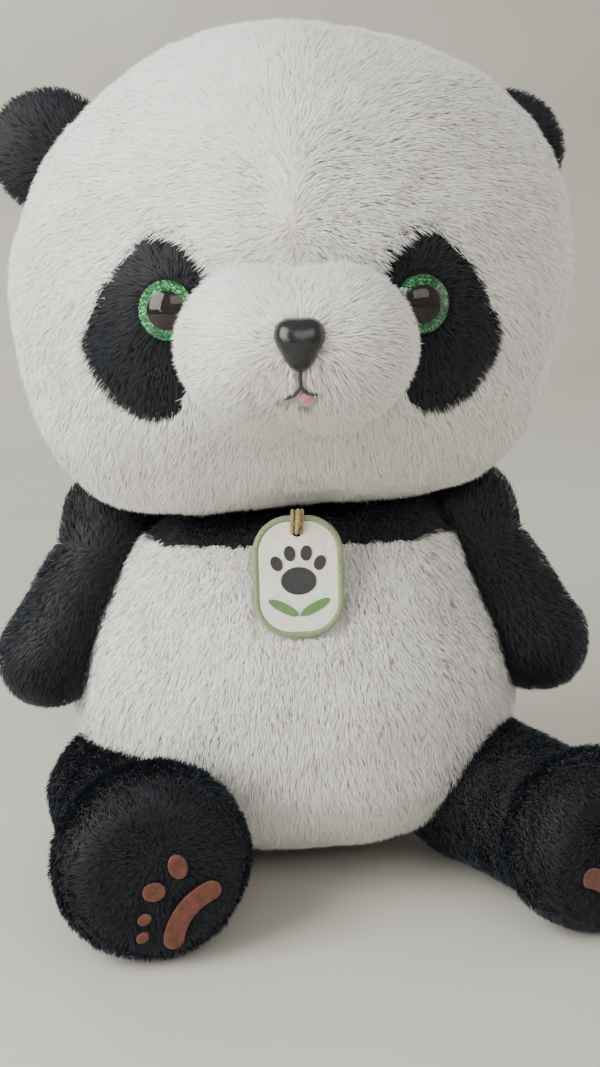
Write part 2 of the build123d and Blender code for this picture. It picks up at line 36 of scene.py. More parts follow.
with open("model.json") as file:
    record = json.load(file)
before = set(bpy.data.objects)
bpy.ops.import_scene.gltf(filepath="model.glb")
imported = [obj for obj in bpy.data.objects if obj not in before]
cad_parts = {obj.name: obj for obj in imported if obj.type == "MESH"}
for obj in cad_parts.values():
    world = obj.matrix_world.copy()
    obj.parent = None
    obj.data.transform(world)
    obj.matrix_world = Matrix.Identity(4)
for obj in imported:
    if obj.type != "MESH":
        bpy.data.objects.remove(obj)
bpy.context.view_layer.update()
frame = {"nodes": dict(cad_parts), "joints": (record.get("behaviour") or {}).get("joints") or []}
JOINTS = {joint["name"]: joint for joint in frame["joints"]}

SKIN_INSET = 0.0035     # of the backing cloth below the CAD surface
FILL_INSET = 0.0054     # of the filling below the CAD surface
FLOOR_GAP = 0.0004
SIDES = {"left": 1, "right": -1}


# ---------------------------------------------------------------- places from the frame

def box(node):
    low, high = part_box(node)
    return np.array(low), np.array(high)


def middle(*nodes):
    corners = [box(node) for node in nodes]
    low = np.min([c[0] for c in corners], axis=0)
    high = np.max([c[1] for c in corners], axis=0)
    return (low + high) / 2


def unit(v):
    return v / np.linalg.norm(v)


head_low, head_high = box("head_stuffing")
HEAD = (head_low + head_high) / 2
HEAD_RADIUS = (head_high[2] - head_low[2]) / 2 + FILL_INSET
HEAD_STRAIGHT = (head_high[0] - head_low[0]) / 2 + FILL_INSET - HEAD_RADIUS
muzzle_low, muzzle_high = box("muzzle_stuffing")
MUZZLE_RADIUS = (muzzle_high[2] - muzzle_low[2]) / 2 + FILL_INSET
MUZZLE_STRAIGHT = (muzzle_high[0] - muzzle_low[0]) / 2 + FILL_INSET - MUZZLE_RADIUS
MUZZLE_FRONT = muzzle_low[1] - FILL_INSET
MUZZLE = np.array([0, MUZZLE_FRONT + MUZZLE_RADIUS, (muzzle_low[2] + muzzle_high[2]) / 2])
torso_low, torso_high = box("torso_stuffing")
TORSO_RADIUS = (torso_high[1] - torso_low[1]) / 2 + FILL_INSET
TORSO_STRAIGHT = (torso_high[0] - torso_low[0]) / 2 + FILL_INSET - TORSO_RADIUS
BELLY_HEIGHT = 0.100
TORSO = np.array([0, (torso_low[1] + torso_high[1]) / 2, BELLY_HEIGHT])
YOKE_SEAM = box("chest_yoke")[0][2]
NOSE = middle("nose")
NOSE_FRONT = box("nose")[0][1]
TAG_LOW, TAG_HIGH = box("tag_rim")


# ---------------------------------------------------------------- camera and lights

def aim(obj, place, target, roll=0.0):
    """Turns an object's -Z to a target, and its +Y up, then rolls it about its own line of sight."""
    forward = (Vector(target) - Vector(place)).normalized()
    right = forward.cross(Vector((0, 0, 1))).normalized()
    up = right.cross(forward)
    turned_right = right * math.cos(roll) - up * math.sin(roll)
    turned_up = up * math.cos(roll) + right * math.sin(roll)
    axes = Matrix((turned_right, turned_up, -forward)).transposed()
    obj.matrix_world = Matrix.Translation(place) @ axes.to_4x4()


def add_camera():
    target = Vector((0.004, -0.040, 0.192))
    distance = 0.775
    azimuth = math.radians(-2.3)
    height = math.radians(12.2)
    level = math.cos(height)
    sight = Vector((math.sin(azimuth) * level, -math.cos(azimuth) * level, math.sin(height)))
    data = bpy.data.cameras.new("camera")
    data.sensor_fit = "VERTICAL"
    data.sensor_height = 36
    data.lens = 36 * 1400 / 1067
    data.clip_start = 0.02
    camera = bpy.data.objects.new("camera", data)
    bpy.context.scene.collection.objects.link(camera)
    aim(camera, target + distance * sight, target, roll=math.radians(1.3))
    bpy.context.scene.camera = camera


def add_light(name, place, size, power, colour, target=(0, -0.03, 0.22)):
    data = bpy.data.lights.new(name, "AREA")
    data.shape = "RECTANGLE"
    data.size, data.size_y = size
    data.energy = power
    data.color = colour
    light = bpy.data.objects.new(name, data)
    bpy.context.scene.collection.objects.link(light)
    aim(light, Vector(place), Vector(target))


# ---------------------------------------------------------------- materials

def new_material(name):
    material = bpy.data.materials.new(name)
    material.use_nodes = True
    tree = material.node_tree
    return material, tree, tree.nodes["Principled BSDF"]


def node(tree, kind, **values):
    made = tree.nodes.new(kind)
    for key, value in values.items():
        if hasattr(made, key):
            setattr(made, key, value)
        else:
            made.inputs[key.replace("_", " ")].default_value = value
    return made


def ramp(tree, source, stops):
    made = tree.nodes.new("ShaderNodeValToRGB")
    elements = made.color_ramp.elements
    while len(elements) < len(stops):
        elements.new(0.5)
    for element, (position, colour) in zip(elements, stops):
        element.position = position
        element.color = (*colour, 1)
    tree.links.new(source, made.inputs["Fac"])
    return made.outputs["Color"]


def noise(tree, scale, detail=4.0, stretch=(1, 1, 1), rough=0.55):
    """Noise in the object's own coordinates, stretched along an axis where that is asked for."""
    place = node(tree, "ShaderNodeTexCoord")
    mapping = node(tree, "ShaderNodeMapping")
    mapping.inputs["Scale"].default_value = stretch
    made = node(tree, "ShaderNodeTexNoise", Scale=scale, Detail=detail, Roughness=rough)
    tree.links.new(place.outputs["Object"], mapping.inputs["Vector"])
    tree.links.new(mapping.outputs["Vector"], made.inputs["Vector"])
    return made.outputs["Fac"]


def bump(tree, shader, source, strength, distance):
    made = node(tree, "ShaderNodeBump", Strength=strength, Distance=distance)
    tree.links.new(source, made.inputs["Height"])
    tree.links.new(made.outputs["Normal"], shader.inputs["Normal"])


def pile_material(name, stops, roughness, sheen, sheen_tint, specular=0.3):
    """Pile: each hair carries its own tone at random, with painted shade that darkens it at its foot and
    lightens it towards its tip.
    """
    material, tree, shader = new_material(name)
    tone_and_root_shade = node(tree, "ShaderNodeAttribute", attribute_name="tone_and_root_shade")
    tree.links.new(ramp(tree, tone_and_root_shade.outputs["Fac"], stops), shader.inputs["Base Color"])
    shader.inputs["Roughness"].default_value = roughness
    shader.inputs["Specular IOR Level"].default_value = specular
    shader.inputs["Sheen Weight"].default_value = sheen
    shader.inputs["Sheen Roughness"].default_value = 0.45
    shader.inputs["Sheen Tint"].default_value = (*sheen_tint, 1)
    return material


def woven_material(name, dark, light, scale=900, strength=0.5, roughness=0.9, sheen=0.2):
    """Matted fibre or felt: mottled colour over a fine tangle."""
    material, tree, shader = new_material(name)
    mottle = noise(tree, scale / 6, detail=6)
    tree.links.new(ramp(tree, mottle, [(0.3, dark), (0.7, light)]), shader.inputs["Base Color"])
    shader.inputs["Roughness"].default_value = roughness
    shader.inputs["Sheen Weight"].default_value = sheen
    bump(tree, shader, noise(tree, scale, detail=8, rough=0.7), strength, 0.0006)
    return material


def satin_material(name, dark, light, direction=(1, 0, 0), pitch=2200):
    """Satin stitch: side-by-side threads with a soft sheen, and painted shade in the grooves between them."""
    material, tree, shader = new_material(name)
    place = node(tree, "ShaderNodeTexCoord")
    turned = node(tree, "ShaderNodeVectorMath", operation="DOT_PRODUCT")
    turned.inputs[1].default_value = direction
    tree.links.new(place.outputs["Object"], turned.inputs[0])
    scaled = node(tree, "ShaderNodeMath", operation="MULTIPLY")
    scaled.inputs[1].default_value = pitch * math.tau
    tree.links.new(turned.outputs["Value"], scaled.inputs[0])
    wave = node(tree, "ShaderNodeMath", operation="SINE")
    tree.links.new(scaled.outputs["Value"], wave.inputs[0])
    # Painted shade: the bump's wave darkens the colour in the grooves between threads, over a random mottle.
    groove_shade_and_mottle = node(tree, "ShaderNodeMath", operation="MULTIPLY_ADD")
    groove_shade_and_mottle.inputs[1].default_value = 0.25
    tree.links.new(wave.outputs["Value"], groove_shade_and_mottle.inputs[0])
    tree.links.new(noise(tree, 700, detail=3), groove_shade_and_mottle.inputs[2])
    stops = [(0.2, dark), (0.8, light)]
    tree.links.new(ramp(tree, groove_shade_and_mottle.outputs["Value"], stops), shader.inputs["Base Color"])
    shader.inputs["Roughness"].default_value = 0.5
    shader.inputs["Sheen Weight"].default_value = 0.35
    bump(tree, shader, wave.outputs["Value"], 0.5, 0.0002)
    return material


def plastic_material(name, dark, light, roughness, scratch, specular=0.5):
    """Moulded plastic with fine scuffs that change its gloss."""
    material, tree, shader = new_material(name)
    mottle = noise(tree, 160, detail=5)
    tree.links.new(ramp(tree, mottle, [(0.3, dark), (0.75, light)]), shader.inputs["Base Color"])
    scuffs = noise(tree, 260, detail=8, stretch=(1, 1, 7), rough=0.75)
    low, high = roughness
    gloss = ramp(tree, scuffs, [(0.42, (low,) * 3), (0.72, (high,) * 3)])
    tree.links.new(gloss, shader.inputs["Roughness"])
    shader.inputs["Specular IOR Level"].default_value = specular
    bump(tree, shader, scuffs, scratch, 0.0002)
    return material


def glitter_material():
    """Metallic green flakes, each tilted its own way, in clear film."""
    material, tree, shader = new_material("glitter_film")
    place = node(tree, "ShaderNodeTexCoord")
    cells = node(tree, "ShaderNodeTexVoronoi", Scale=1500)
    tree.links.new(place.outputs["Object"], cells.inputs["Vector"])
    split = node(tree, "ShaderNodeSeparateColor")
    tree.links.new(cells.outputs["Color"], split.inputs["Color"])
    stops = [(0.0, (0.004, 0.05, 0.014)), (0.45, (0.012, 0.16, 0.045)), (0.8, (0.05, 0.38, 0.13)),
             (1.0, (0.45, 0.8, 0.42))]
    tree.links.new(ramp(tree, split.outputs["Red"], stops), shader.inputs["Base Color"])
    gloss = ramp(tree, split.outputs["Green"], [(0.0, (0.2,) * 3), (1.0, (0.5,) * 3)])
    tree.links.new(gloss, shader.inputs["Roughness"])
    shader.inputs["Metallic"].default_value = 0.6
    bump(tree, shader, split.outputs["Blue"], 0.8, 0.0004)
    return material


def dome_material():
    """Clear plastic seen as a thin polished shell: what is behind it, under a mirror at the rim."""
    material, tree, shader = new_material("clear_dome_plastic")
    tree.nodes.remove(shader)
    output = tree.nodes["Material Output"]
    clear = node(tree, "ShaderNodeBsdfTransparent")
    clear.inputs["Color"].default_value = (0.96, 0.98, 0.97, 1)
    shine = node(tree, "ShaderNodeBsdfGlossy", Roughness=0.035)
    rim = node(tree, "ShaderNodeFresnel", IOR=1.5)
    made = node(tree, "ShaderNodeBump", Strength=0.05, Distance=0.0002)
    tree.links.new(noise(tree, 500, detail=6, stretch=(1, 1, 5)), made.inputs["Height"])
    tree.links.new(made.outputs["Normal"], shine.inputs["Normal"])
    facing = node(tree, "ShaderNodeNewGeometry")
    outer = node(tree, "ShaderNodeMath", operation="SUBTRACT")
    outer.inputs[0].default_value = 1
    tree.links.new(facing.outputs["Backfacing"], outer.inputs[1])
    share = node(tree, "ShaderNodeMath", operation="MULTIPLY")
    tree.links.new(rim.outputs["Fac"], share.inputs[0])
    tree.links.new(outer.outputs["Value"], share.inputs[1])
    mix = node(tree, "ShaderNodeMixShader")
    tree.links.new(share.outputs["Value"], mix.inputs["Fac"])
    tree.links.new(clear.outputs["BSDF"], mix.inputs[1])
    tree.links.new(shine.outputs["BSDF"], mix.inputs[2])
    tree.links.new(mix.outputs["Shader"], output.inputs["Surface"])
    return material


# Pile colours: the low end is painted shade at the hairs' feet, the high end the hair's own colour at its
# tip.
WHITE_ROOT_SHADE_STOPS = [(0.0, (0.68, 0.62, 0.575)), (0.35, (0.87, 0.84, 0.80)), (0.8, (0.955, 0.94, 0.905)),
               (1.0, (0.975, 0.965, 0.935))]
BLACK_ROOT_SHADE_STOPS = [(0.0, (0.002, 0.0023, 0.003)), (0.5, (0.006, 0.0072, 0.0095)), (1.0, (0.016, 0.020, 0.028))]
MATERIALS = {
    "white_pile": pile_material("white_pile_hair", WHITE_ROOT_SHADE_STOPS, 0.75, 0.25, (1, 0.99, 0.97)),
    "black_pile": pile_material("black_pile_hair", BLACK_ROOT_SHADE_STOPS, 0.55, 0.16, (0.62, 0.74, 0.95), 0.28),
    "white_cloth": woven_material("white_backing_cloth", (0.72, 0.68, 0.65), (0.84, 0.81, 0.78)),
    "black_cloth": woven_material("black_backing_cloth", (0.003, 0.003, 0.004), (0.010, 0.011, 0.014)),
    "paw_felt": woven_material("paw_felt_fibre", (0.075, 0.020, 0.011), (0.15, 0.045, 0.024), 1400),
    "paw_satin": satin_material("paw_satin_edge", (0.22, 0.075, 0.04), (0.40, 0.16, 0.095), (0.6, 0, 0.8)),
    "clear_dome": dome_material(),
    "pupil_plastic": plastic_material("pupil_brown", (0.004, 0.002, 0.002), (0.020, 0.010, 0.007),
                                      (0.2, 0.4), 0.1, 0.12),
    "glitter": glitter_material(),
    "washer_plastic": plastic_material("washer_moulding", (0.75, 0.75, 0.73), (0.85, 0.85, 0.84),
                                       (0.4, 0.6), 0.2),
    "nose_plastic": plastic_material("nose_gloss", (0.006, 0.006, 0.007), (0.020, 0.020, 0.022),
                                     (0.10, 0.42), 0.30),
    "thread_black": satin_material("mouth_thread", (0.004, 0.004, 0.004), (0.02, 0.02, 0.022), (0, 0.3, 1)),
    "tongue_felt": woven_material("tongue_felt_fibre", (0.55, 0.17, 0.22), (0.80, 0.34, 0.40), 1500),
    "tag_cloth": woven_material("tag_felt_fibre", (0.66, 0.63, 0.54), (0.80, 0.78, 0.69), 1500, 0.35),
    "tag_rim_thread": satin_material("tag_rim_stitch", (0.15, 0.20, 0.085), (0.33, 0.40, 0.22),
                                     (0.5, 0, 0.86)),
    "tag_print": satin_material("tag_mark_stitch", (0.006, 0.006, 0.007), (0.03, 0.03, 0.032), (1, 0, 0.2)),
    "tag_leaf_print": satin_material("tag_leaf_stitch", (0.06, 0.16, 0.04), (0.16, 0.32, 0.10),
                                     (0.7, 0, 0.7)),
    "loop_cord": satin_material("loop_twisted_cord", (0.17, 0.12, 0.025), (0.42, 0.33, 0.12),
                                (0.3, 0.9, 0.3), 900),
}


# ---------------------------------------------------------------- noise and forms

def lumps(points, scale, seed):
    """Smooth noise from -1 to 1, with features about scale across."""
    size = 48
    lattice = np.random.default_rng(seed).uniform(-1, 1, (size, size, size))
    q = np.asarray(points) / scale
    cell = np.floor(q).astype(int)
    f = q - cell
    f = f * f * (3 - 2 * f)
    total = np.zeros(len(q))
    for corner in range(8):
        step = np.array([corner & 1, corner >> 1 & 1, corner >> 2 & 1])
        weight = np.prod(np.where(step, f, 1 - f), axis=1)
        i, j, k = ((cell + step) % size).T
        total += weight * lattice[i, j, k]
    return total


def lump_vectors(points, scale, seed):
    return np.stack([lumps(points, scale, seed + i) for i in range(3)], axis=1)


def ball(p, centre, radius):
    return np.linalg.norm(p - centre, axis=1) - radius


def limb(p, start, end, start_radius, end_radius):
    """Distance to a ball that grows as it goes from start to end."""
    run = end - start
    t = np.clip((p - start) @ run / (run @ run), 0, 1)
    radius = start_radius + t * (end_radius - start_radius)
    return np.linalg.norm(p - (start + t[:, None] * run), axis=1) - radius


def joined(d, e, blend):
    h = np.clip(0.5 + 0.5 * (e - d) / blend, 0, 1)
    return e * (1 - h) + d * h - blend * h * (1 - h)


def trimmed(d, e, blend):
    return -joined(-d, -e, blend)


def skin_mesh(form, centre, level, reach, lumpiness=0.0011):
    """Points and triangles of a round skin: rays go in from all round until they meet the form."""
    made = bmesh.new()
    bmesh.ops.create_icosphere(made, subdivisions=level, radius=1)
    ways = np.array([v.co[:] for v in made.verts])
    triangles = np.array([[v.index for v in face.verts] for face in made.faces])
    made.free()
    ways /= np.linalg.norm(ways, axis=1)[:, None]
    travel = np.full(len(ways), reach)
    for _ in range(60):
        travel -= 0.8 * form(centre + ways * travel[:, None])
    points = centre + ways * travel[:, None]
    normals = vertex_normals(points, triangles)
    height = lumpiness * (lumps(points, 0.030, 11) + 0.5 * lumps(points, 0.012, 17))
    points = points + normals * height[:, None]
    points[:, 2] = np.maximum(points[:, 2], FLOOR_GAP)
    return points, triangles


def vertex_normals(points, triangles):
    a, b, c = (points[triangles[:, i]] for i in range(3))
    face = np.cross(b - a, c - a)
    total = np.zeros_like(points)
    for i in range(3):
        np.add.at(total, triangles[:, i], face)
    return total / np.maximum(np.linalg.norm(total, axis=1), 1e-12)[:, None]


def mesh_object(name, points, faces, materials, smooth=True):
    """An object from arrays of points and of equal-sided faces."""
    data = bpy.data.meshes.new(name)
    sides = faces.shape[1]
    data.vertices.add(len(points))
    data.vertices.foreach_set("co", points.astype(np.float32).ravel())
    data.loops.add(faces.size)
    data.loops.foreach_set("vertex_index", faces.astype(np.int32).ravel())
    data.polygons.add(len(faces))
    data.polygons.foreach_set("loop_start", np.arange(len(faces), dtype=np.int32) * sides)
    data.polygons.foreach_set("use_smooth", np.full(len(faces), smooth))
    data.update(calc_edges=True)
    for material in materials:
        data.materials.append(material)
    made = bpy.data.objects.new(name, data)
    bpy.context.scene.collection.objects.link(made)
    return made


def some_faces(points, triangles, keep):
    """The same points with only some of the triangles, and no loose points."""
    kept = triangles[keep]
    used, again = np.unique(kept, return_inverse=True)
    return points[used], again.reshape(kept.shape)


# ---------------------------------------------------------------- pile

HAIR_LIMIT = 62000      # hairs in one piece


def sow(points, triangles, normals, density, seed):
    """Random roots over some triangles, with the skin's normal at each."""
    rng = np.random.default_rng(seed)
    a, b, c = (points[triangles[:, i]] for i in range(3))
    area = np.linalg.norm(np.cross(b - a, c - a), axis=1) / 2
    count = int(area.sum() * density)
    chosen = rng.choice(len(triangles), count, p=area / area.sum())
    u, v = rng.random((2, count))
    fold = u + v > 1
    u[fold], v[fold] = 1 - u[fold], 1 - v[fold]
    weights = np.stack([1 - u - v, u, v], axis=1)[:, :, None]
    corners = triangles[chosen]
    roots = (points[corners] * weights).sum(axis=1)
    ways = (normals[corners] * weights).sum(axis=1)
    return roots, ways / np.linalg.norm(ways, axis=1)[:, None]


def strands(roots, normals, comb, length, width, seed):
    """Bent, tapered hairs: five points each, with tones that hold painted shade at the foot, and shading
    normals.
    """
    rng = np.random.default_rng(seed)
    count = len(roots)
    along = comb - normals * (comb * normals).sum(axis=1)[:, None]
    along /= np.maximum(np.linalg.norm(along, axis=1), 1e-9)[:, None]
    drift = 0.55 * lump_vectors(roots, 0.016, 31) + 0.45 * lump_vectors(roots, 0.006, 41)
    drift += 0.30 * rng.normal(size=(count, 3))
    drift -= normals * (drift * normals).sum(axis=1)[:, None]
    along = along + drift * 0.55
    long = length * rng.uniform(0.72, 1.12, count) * (1 + 0.12 * lumps(roots, 0.009, 57))
    low_way = normals * 0.85 + along * 0.45
    low_way /= np.linalg.norm(low_way, axis=1)[:, None]
    high_way = normals * 0.42 + along
    high_way /= np.linalg.norm(high_way, axis=1)[:, None]
    middle_place = roots + low_way * (0.5 * long)[:, None]
    tip = middle_place + high_way * (0.5 * long)[:, None]
    across = np.cross(normals, high_way)
    across /= np.maximum(np.linalg.norm(across, axis=1), 1e-9)[:, None]
    roll = rng.uniform(-0.9, 0.9, count)[:, None]
    across = across * np.cos(roll) + normals * np.sin(roll)
    half = (width / 2 * rng.uniform(0.7, 1.2, count))[:, None] * across
    face = np.cross(half, high_way)
    outward = np.sign((face * normals).sum(axis=1))[:, None]
    half *= outward
    face *= outward / np.maximum(np.linalg.norm(face, axis=1), 1e-12)[:, None]
    foot = roots - normals * 0.0006
    points = np.stack([foot - half, foot + half, middle_place - half, middle_place + half, tip], axis=1)
    points = points.reshape(-1, 3)
    points[:, 2] = np.maximum(points[:, 2], FLOOR_GAP)
    # Each hair's tone is random, plus painted shade along it: low at the foot, high at the tip.
    own = 0.09 * rng.normal(size=count) + 0.10 * lumps(roots, 0.010, 63)
    root_shade_levels = np.array([0.15, 0.15, 0.62, 0.62, 0.95])
    tones_and_root_shade = np.clip(root_shade_levels[None] + own[:, None], 0, 1).ravel()
    shading = normals + 0.45 * face + 0.25 * high_way
    shading = np.repeat(shading / np.linalg.norm(shading, axis=1)[:, None], 5, axis=0)
    first = np.arange(count)[:, None] * 5
    triangles = np.concatenate([first + [0, 1, 3], first + [0, 3, 2], first + [2, 3, 4]], axis=1)
    return points, triangles.reshape(-1, 3), tones_and_root_shade, shading


def pile(name, body, slot, form, region, comb, length, density, width=0.00060, shorten=None, seed=0):
    """Hair over part of a skin, as one piece, or several where there is too much for one."""
    points, triangles = form
    normals = vertex_normals(points, triangles)
    roots, ways = sow(points, triangles, normals, density, seed)
    wanted = region(roots)
    roots, ways = roots[wanted], ways[wanted]
    long = np.full(len(roots), length)
    if shorten is not None:
        long = long * shorten(roots)
    parts = max(1, math.ceil(len(roots) / HAIR_LIMIT))
    order = np.argsort(roots[:, 0] + 0.3 * roots[:, 2], kind="stable")
    made = []
    for number, some in enumerate(np.array_split(order, parts)):
        hair = strands(roots[some], ways[some], comb(roots[some]), long[some], width, seed + number)
        suffix = f"_{number + 1}" if parts > 1 else ""
        piece = mesh_object(f"{name}{suffix}", hair[0], hair[1], [MATERIALS[slot]])
        # The attribute holds each hair's random tone and the painted shade at its foot.
        tone_and_root_shade = piece.data.attributes.new("tone_and_root_shade", "FLOAT", "POINT")
        tone_and_root_shade.data.foreach_set("value", hair[2].astype(np.float32))
        piece.data.normals_split_custom_set_from_vertices(hair[3])
        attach(piece, body)
        made.append(piece)
    return made


def skin(name, body, slot, form, keep, stands_for):
    """A padded cloth skin under the pile, standing for its panels and their filling."""
    points, triangles = some_faces(*form, keep)
    cloth = MATERIALS["white_cloth" if slot == "white_pile" else "black_cloth"]
    made = mesh_object(name, points, triangles, [cloth])
    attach(made, body)
    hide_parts(*stands_for)
    return made


# ---------------------------------------------------------------- head

EYES = {name: middle(f"eye_glitter_disc_{name}") for name in SIDES}
EYE_SPLAY = math.radians(17)
EYE_HOLE = 0.0143
EYE_DIMPLE = 0.0018
HEAD_WIDENING = 1.035
UNDERSIDE_LIFT = 0.004
MUZZLE_CREASE = 0.005   # blend of the muzzle into the face, which gets softer below
# Balls that round the head out, as place from its middle, radius and blend: cheeks, crown, left temple.
HEAD_FULLNESS = [
    ((-0.064, -0.016, -0.052), 0.064 - SKIN_INSET, 0.02),
    ((0.064, -0.016, -0.052), 0.064 - SKIN_INSET, 0.02),
    ((0, 0.004, 0.036), 0.099, 0.03),
    ((0.058, 0, 0.034), 0.080, 0.03),
]
PATCH_OUTLINE = [(63, 33), (47, 27), (38, 12), (43, -12), (49, -36), (60, -51), (76, -50), (92, -37),
                 (99, -16), (91, 3), (78, 22)]
CROWN = HEAD + np.array([0, 0.02, HEAD_RADIUS])


def head_form(p):
    """A wide ball with fuller cheeks and crown, its underside flatter and shorter on the left."""
    low = np.clip((HEAD[2] - p[:, 2]) / 0.04, 0, 1)
    squash = 1 + low * np.clip(0.055 + p[:, 0] / 1.1, 0, 0.11)
    q = HEAD + (p - HEAD) * np.stack([np.full(len(p), 1 / HEAD_WIDENING), np.ones(len(p)), squash], axis=1)
    across = np.array([HEAD_STRAIGHT, 0, 0])
    radius = HEAD_RADIUS - SKIN_INSET
    d = limb(q, HEAD - across, HEAD + across, radius, radius)
    for place, full, blend in HEAD_FULLNESS:
        d = joined(d, ball(q, HEAD + np.array(place), full), blend)
    underside = HEAD[2] - HEAD_RADIUS + SKIN_INSET + UNDERSIDE_LIFT
    d = trimmed(d, underside - p[:, 2], 0.02)
    for name in SIDES:
        d = d + EYE_DIMPLE * np.exp(-(np.linalg.norm(p - EYES[name], axis=1) / 0.022) ** 2)
    blend = MUZZLE_CREASE + 0.030 * np.clip((MUZZLE[2] - 0.004 - p[:, 2]) / 0.03, 0, 1)
    return joined(d, muzzle_distance(p), blend)


def muzzle_distance(p):
    across = np.array([MUZZLE_STRAIGHT, 0, 0])
    radius = MUZZLE_RADIUS - SKIN_INSET
    return limb(p, MUZZLE - across, MUZZLE + across, radius, radius)


def closed_curve(corners, steps=8):
    """A smooth closed outline through its corners."""
    c = np.array(corners, float)
    before, after, beyond = np.roll(c, 1, 0), np.roll(c, -1, 0), np.roll(c, -2, 0)
    out = []
    for i in range(len(c)):
        for t in np.arange(steps) / steps:
            out.append(0.5 * (2 * c[i] + (after[i] - before[i]) * t
                              + (2 * before[i] - 5 * c[i] + 4 * after[i] - beyond[i]) * t ** 2
                              + (3 * c[i] - before[i] - 3 * after[i] + beyond[i]) * t ** 3))
    return np.array(out)


def inside(x, z, outline):
    """Which places are inside a closed outline."""
    odd = np.zeros(len(x), bool)
    for (x0, z0), (x1, z1) in zip(outline, np.roll(outline, -1, 0)):
        crosses = (z0 > z) != (z1 > z)
        odd ^= crosses & (x < (x1 - x0) * (z - z0) / (z1 - z0 + 1e-12) + x0)
    return odd


def in_patch(p, side):
    outline = closed_curve(PATCH_OUTLINE) / 1000
    ragged = 0.0012 * lumps(p, 0.004, 77)
    return inside(side * p[:, 0] + ragged, p[:, 2] - HEAD[2] + ragged, outline) & (p[:, 1] < HEAD[1])


def on_muzzle(p):
    return muzzle_distance(p) < 0.0022


def off_eyes(p):
    """Away from both eye seats."""
    free = np.ones(len(p), bool)
    for name, side in SIDES.items():
        sight = np.array([side * math.sin(EYE_SPLAY), -math.cos(EYE_SPLAY), 0])
        away = p - EYES[name]
        across = away - (away @ sight)[:, None] * sight
        free &= (np.linalg.norm(across, axis=1) > EYE_HOLE) | (p[:, 1] > HEAD[1])
    return free


def mouth_place(x, drop, lift):
    angle = math.radians(drop)
    radius = MUZZLE_RADIUS + lift
    return (x, MUZZLE[1] - radius * math.cos(angle), MUZZLE[2] - radius * math.sin(angle))


MOUTH_LINES = {
    "mouth_stitch_middle": [(0.0004, 9), (-0.0002, 16), (0.0, 22), (0.0002, 27)],
    "mouth_stitch_right": [(0.0002, 26), (-0.0014, 31), (-0.0044, 35), (-0.0080, 36.5)],
    "mouth_stitch_left": [(0.0002, 26), (0.0018, 30), (0.0046, 32.5), (0.0078, 33)],
}
TONGUE = mouth_place(0.0026, 36, 0)


def off_mouth(p):
    """Away from the nose, the stitched mouth and the tongue, on the front of the muzzle."""
    front = p[:, 1] < MUZZLE[1]
    nose = ((p[:, 0] - NOSE[0]) / 0.0084) ** 2 + ((p[:, 2] - NOSE[2]) / 0.0088) ** 2 < 1
    tongue = ((p[:, 0] - TONGUE[0]) / 0.0040) ** 2 + ((p[:, 2] - TONGUE[2]) / 0.0042) ** 2 < 1
    near = nose | tongue
    for line in MOUTH_LINES.values():
        for (x0, drop0), (x1, drop1) in zip(line, line[1:]):
            a, b = np.array(mouth_place(x0, drop0, 0)), np.array(mouth_place(x1, drop1, 0))
            near |= limb(p, a, b, 0.0044, 0.0044) < 0
    return ~(near & front)


def away_from(places, weight, down):
    """A comb that leads away from the nearest of some places, and down."""
    def comb(p):
        gaps = np.stack([p - place for place in places])
        far = np.linalg.norm(gaps, axis=2)
        nearest = gaps[far.argmin(axis=0), np.arange(len(p))]
        nearest /= np.maximum(far.min(axis=0), 1e-6)[:, None]
        return nearest * weight + np.array([0, 0.15, -down])
    return comb


def build_head():
    centre = HEAD + np.array([0, -0.016, -0.012])
    form = skin_mesh(head_form, centre, 6, 0.26, 0.0012)
    middle_of = form[0][form[1]].mean(axis=1)
    muzzle = on_muzzle(middle_of)
    patches = {name: in_patch(middle_of, side) & ~muzzle for name, side in SIDES.items()}
    bare = ~muzzle & ~patches["left"] & ~patches["right"]
    head_nodes = ["forehead_panel", "chin_panel", "cheek_left", "cheek_right", "head_back_left",
                  "head_back_right", "head_stuffing"]
    skin("head_skin", "head", "white_pile", form, bare, head_nodes)
    skin("muzzle_skin", "head", "white_pile", form, muzzle,
         ["muzzle_panel_left", "muzzle_panel_right", "muzzle_stuffing"])
    for name, side in SIDES.items():
        skin(f"eye_patch_skin_{name}", "head", "black_pile", form, patches[name], [f"eye_patch_{name}"])

    def white(p):
        return ~on_muzzle(p) & ~in_patch(p, 1) & ~in_patch(p, -1) & off_eyes(p)

    face_comb = away_from([MUZZLE + np.array([0, 0, 0.03])], 0.7, 0.75)
    pile("face_pile", "head", "white_pile", form, lambda p: white(p) & (p[:, 1] < HEAD[1] + 0.02),
         face_comb, 0.0082, 1.7e6, width=0.00042, seed=100)
    pile("head_back_pile", "head", "white_pile", form, lambda p: white(p) & (p[:, 1] >= HEAD[1] + 0.02),
         away_from([CROWN], 0.5, 0.8), 0.0088, 0.95e6, width=0.00056, seed=200)
    pile("muzzle_pile", "head", "white_pile", form, lambda p: on_muzzle(p) & off_mouth(p) & off_eyes(p),
         away_from([NOSE + np.array([0, 0, 0.004])], 1.0, 0.1), 0.0078, 2.0e6, width=0.00038, seed=300)
    for name, side in SIDES.items():
        pile(f"eye_patch_pile_{name}", "head", "black_pile", form,
             lambda p, side=side: in_patch(p, side) & ~on_muzzle(p) & off_eyes(p),
             away_from([EYES[name]], 0.9, 0.35), 0.0062, 1.3e6, width=0.00050, seed=400 + side)


def curve_piece(name, points, radius, material, body):
    """A smooth round thread along a few control points."""
    data = bpy.data.curves.new(name, "CURVE")
    data.dimensions = "3D"
    data.bevel_depth = radius
    data.bevel_resolution = 5
    data.resolution_u = 16
    data.use_fill_caps = True
    spline = data.splines.new("NURBS")
    spline.points.add(len(points) - 1)
    for point, place in zip(spline.points, points):
        point.co = (*place, 1)
    spline.order_u = 3
    spline.use_endpoint_u = True
    data.materials.append(material)
    made = bpy.data.objects.new(name, data)
    bpy.context.scene.collection.objects.link(made)
    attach(made, body)
    return made


